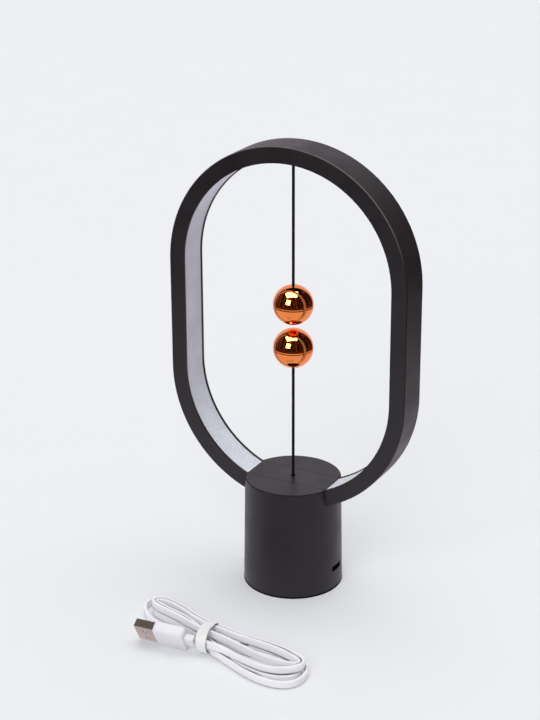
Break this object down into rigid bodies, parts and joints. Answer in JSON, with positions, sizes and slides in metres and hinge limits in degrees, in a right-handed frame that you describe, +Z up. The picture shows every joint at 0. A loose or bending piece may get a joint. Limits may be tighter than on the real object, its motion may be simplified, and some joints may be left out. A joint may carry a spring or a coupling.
{
  "type": "magnetic balance lamp",
  "caption": "Table lamp with an upright oval light ring on a round base; hanging and tethered magnetic balls meet in the middle to work its pull switch; charging cable beside it.",
  "frame": {"origin": "centre of the base's underside, on the table", "axes": "+Z up; the ring stands in the XZ plane and its front faces -Y; +X is the side of the base with the charging port; the cable lies in front, towards -Y"},
  "size_m": [0.1378, 0.1353, 0.2452],
  "materials": {
    "black_coat": "matte black coating on aluminium",
    "black_plastic": "fine matte black",
    "opal_plastic": "translucent opal, matte",
    "board_white": "white solder mask",
    "led_yellow": "silicone dome",
    "board_green": "green solder mask",
    "chip_black": "moulded package",
    "inner_plastic": "moulded",
    "guide_white": "smooth acetal",
    "steel": "bright zinc plate",
    "ballast_steel": "plain sheet steel",
    "magnet_nickel": "nickel plate",
    "foot_rubber": "soft matte",
    "copper_ball": "copper coloured mirror plating",
    "black_string": "tight round braid",
    "wire_red": "insulation",
    "white_cable": "satin white jacket",
    "clear_tie": "milky silicone",
    "plug_nickel": "nickel plated sheet",
    "contact_white": "moulded insulator"
  },
  "bodies": {
    "lamp": {"ring_frame": "black_coat", "diffuser_strip": "opal_plastic", "led_strip_board": "board_white", "led_chips": "led_yellow", "base_shell": "black_plastic", "top_bridge": "black_plastic", "string_guide": "guide_white", "ring_clamp": "inner_plastic", "bottom_cover": "black_plastic", "foot_pad": "foot_rubber", "ballast_weight": "ballast_steel", "control_board": "board_green", "micro_usb_shell": "plug_nickel", "micro_usb_tongue": "chip_black", "driver_chip": "chip_black", "board_components": "chip_black", "cover_screws": "steel", "board_screws": "steel", "clamp_screws": "steel", "bridge_screws": "steel", "switch_housing": "inner_plastic", "housing_cap": "inner_plastic", "return_spring": "steel", "switch_body": "chip_black", "switch_button": "guide_white", "switch_terminals": "steel", "led_leads": "wire_red", "string_anchor": "inner_plastic", "upper_string_tail": "black_string"},
    "upper_bend": {"upper_string_bend": "black_string"},
    "upper_ball": {"upper_string": "black_string", "upper_ball_top": "copper_ball", "upper_ball_bottom": "copper_ball", "upper_magnet": "magnet_nickel"},
    "slider": {"pull_slider": "guide_white", "lower_string_tail": "black_string"},
    "switch_lever": {"switch_lever": "steel"},
    "lower_bend": {"lower_string_bend": "black_string"},
    "lower_ball": {"lower_string": "black_string", "lower_ball_top": "copper_ball", "lower_ball_bottom": "copper_ball", "lower_magnet": "magnet_nickel"},
    "cable": {"cable_hank": "white_cable", "cable_tie": "clear_tie", "usb_plug_shell": "plug_nickel", "usb_plug_tongue": "contact_white", "usb_plug_body": "white_cable", "usb_strain_relief": "white_cable", "usb_plug_tail": "white_cable", "micro_plug_body": "white_cable", "micro_plug_shell": "plug_nickel", "micro_plug_tail": "white_cable"}
  },
  "joints": [
    {"name": "upper_string_swing", "type": "hinge", "parent": "lamp", "child": "upper_bend", "pos_m": [0, 0, 0.23567], "axis": [0, 1, 0], "range_deg": [-36, 36]},
    {"name": "upper_string_sway", "type": "hinge", "parent": "upper_bend", "child": "upper_ball", "pos_m": [0, 0, 0.23567], "axis": [1, 0, 0], "range_deg": [-75, 75]},
    {"name": "switch_pull", "type": "slide", "parent": "lamp", "child": "slider", "axis": [0, 0, 1], "range_m": [-0.0025, 0], "stiffness_N_per_m": 300, "springref_m": 0.002, "deforming": ["return_spring"]},
    {"name": "switch_lever_turn", "type": "hinge", "parent": "lamp", "child": "switch_lever", "pos_m": [0.0195, 0, 0.02845], "axis": [0, 1, 0], "range_deg": [-16.5, 0]},
    {"name": "lower_string_tilt", "type": "hinge", "parent": "slider", "child": "lower_bend", "pos_m": [0, 0, 0.0643], "axis": [0, 1, 0], "range_deg": [-38, 38], "stiffness_Nm_per_rad": 0.03},
    {"name": "lower_string_sway", "type": "hinge", "parent": "lower_bend", "child": "lower_ball", "pos_m": [0, 0, 0.0643], "axis": [1, 0, 0], "range_deg": [-75, 75], "stiffness_Nm_per_rad": 0.03},
    {"name": "cable_lift", "type": "slide", "parent": "lamp", "child": "cable", "axis": [0, 0, 1], "range_m": [0, 0.12]}
  ],
  "couplings": [
    {"joint": "switch_lever_turn", "follows": "switch_pull", "rad_per_m": 105}
  ]
}
